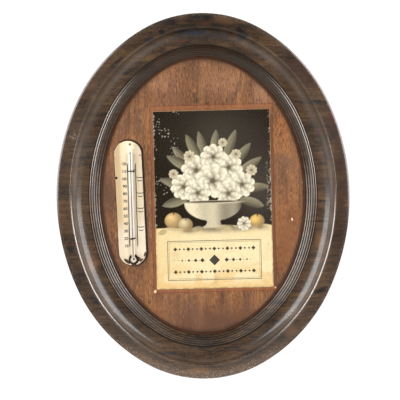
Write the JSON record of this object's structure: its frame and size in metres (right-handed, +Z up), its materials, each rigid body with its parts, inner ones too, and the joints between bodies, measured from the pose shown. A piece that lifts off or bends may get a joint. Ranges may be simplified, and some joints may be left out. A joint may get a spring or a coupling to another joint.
{
  "type": "wall thermometer",
  "caption": "Oval wall thermometer: pressed metal wood-grained frame, veneered panel with a mounted card, and a small tube thermometer on a cream scale plate.",
  "frame": {"origin": "centre of the oval on the wall plane, which is the plane of the frame's back flange", "axes": "+Z up along the oval's long axis, +X to the right as seen from the front, +Y into the wall; the part faces -Y"},
  "size_m": [0.27, 0.023, 0.337],
  "materials": {
    "frame_finish": "dark brown wood-grain lacquer on pressed sheet, satin, worn at the edges",
    "tin": "dull tinned sheet",
    "solder": "dull grey soft solder",
    "veneer": "reddish-brown veneer, vertical grain, satin",
    "strawboard": "matt tan board",
    "card_stock": "matt cream card",
    "print_paper": "sepia print on smooth paper",
    "cream_enamel": "aged cream enamel, chipped at the lower edge",
    "tube_glass": "clear drawn glass",
    "mercury": "liquid mirror",
    "dark_wire": "blackened iron wire",
    "old_brass": "dull brassed wire and strip"
  },
  "bodies": {
    "frame": {"frame_shell": "frame_finish", "retaining_tabs": "tin", "tab_solder": "solder", "veneer_face": "veneer", "panel_board": "strawboard", "backing_board": "strawboard", "card_mount": "card_stock", "card_print": "print_paper", "scale_plate": "cream_enamel", "glass_tube": "tube_glass", "bulb_mercury": "mercury", "mercury_column": "mercury", "upper_staple": "dark_wire", "lower_staple": "dark_wire", "plate_nail": "dark_wire", "hanger_strap": "old_brass", "hanger_rivets": "old_brass", "rivet_washers": "tin"},
    "ring": {"hanger_ring": "old_brass"},
    "column_head": {"column_meniscus": "mercury"}
  },
  "joints": [
    {"name": "ring_swing", "type": "hinge", "parent": "frame", "child": "ring", "pos_m": [0, -0.00382, 0.095], "axis": [1, 0, 0], "range_deg": [0, 180]},
    {"name": "column_rise", "type": "slide", "parent": "frame", "child": "column_head", "axis": [-0.0175, 0, 0.9998], "range_m": [-0.04472, 0.03096], "deforming": ["mercury_column"]}
  ]
}
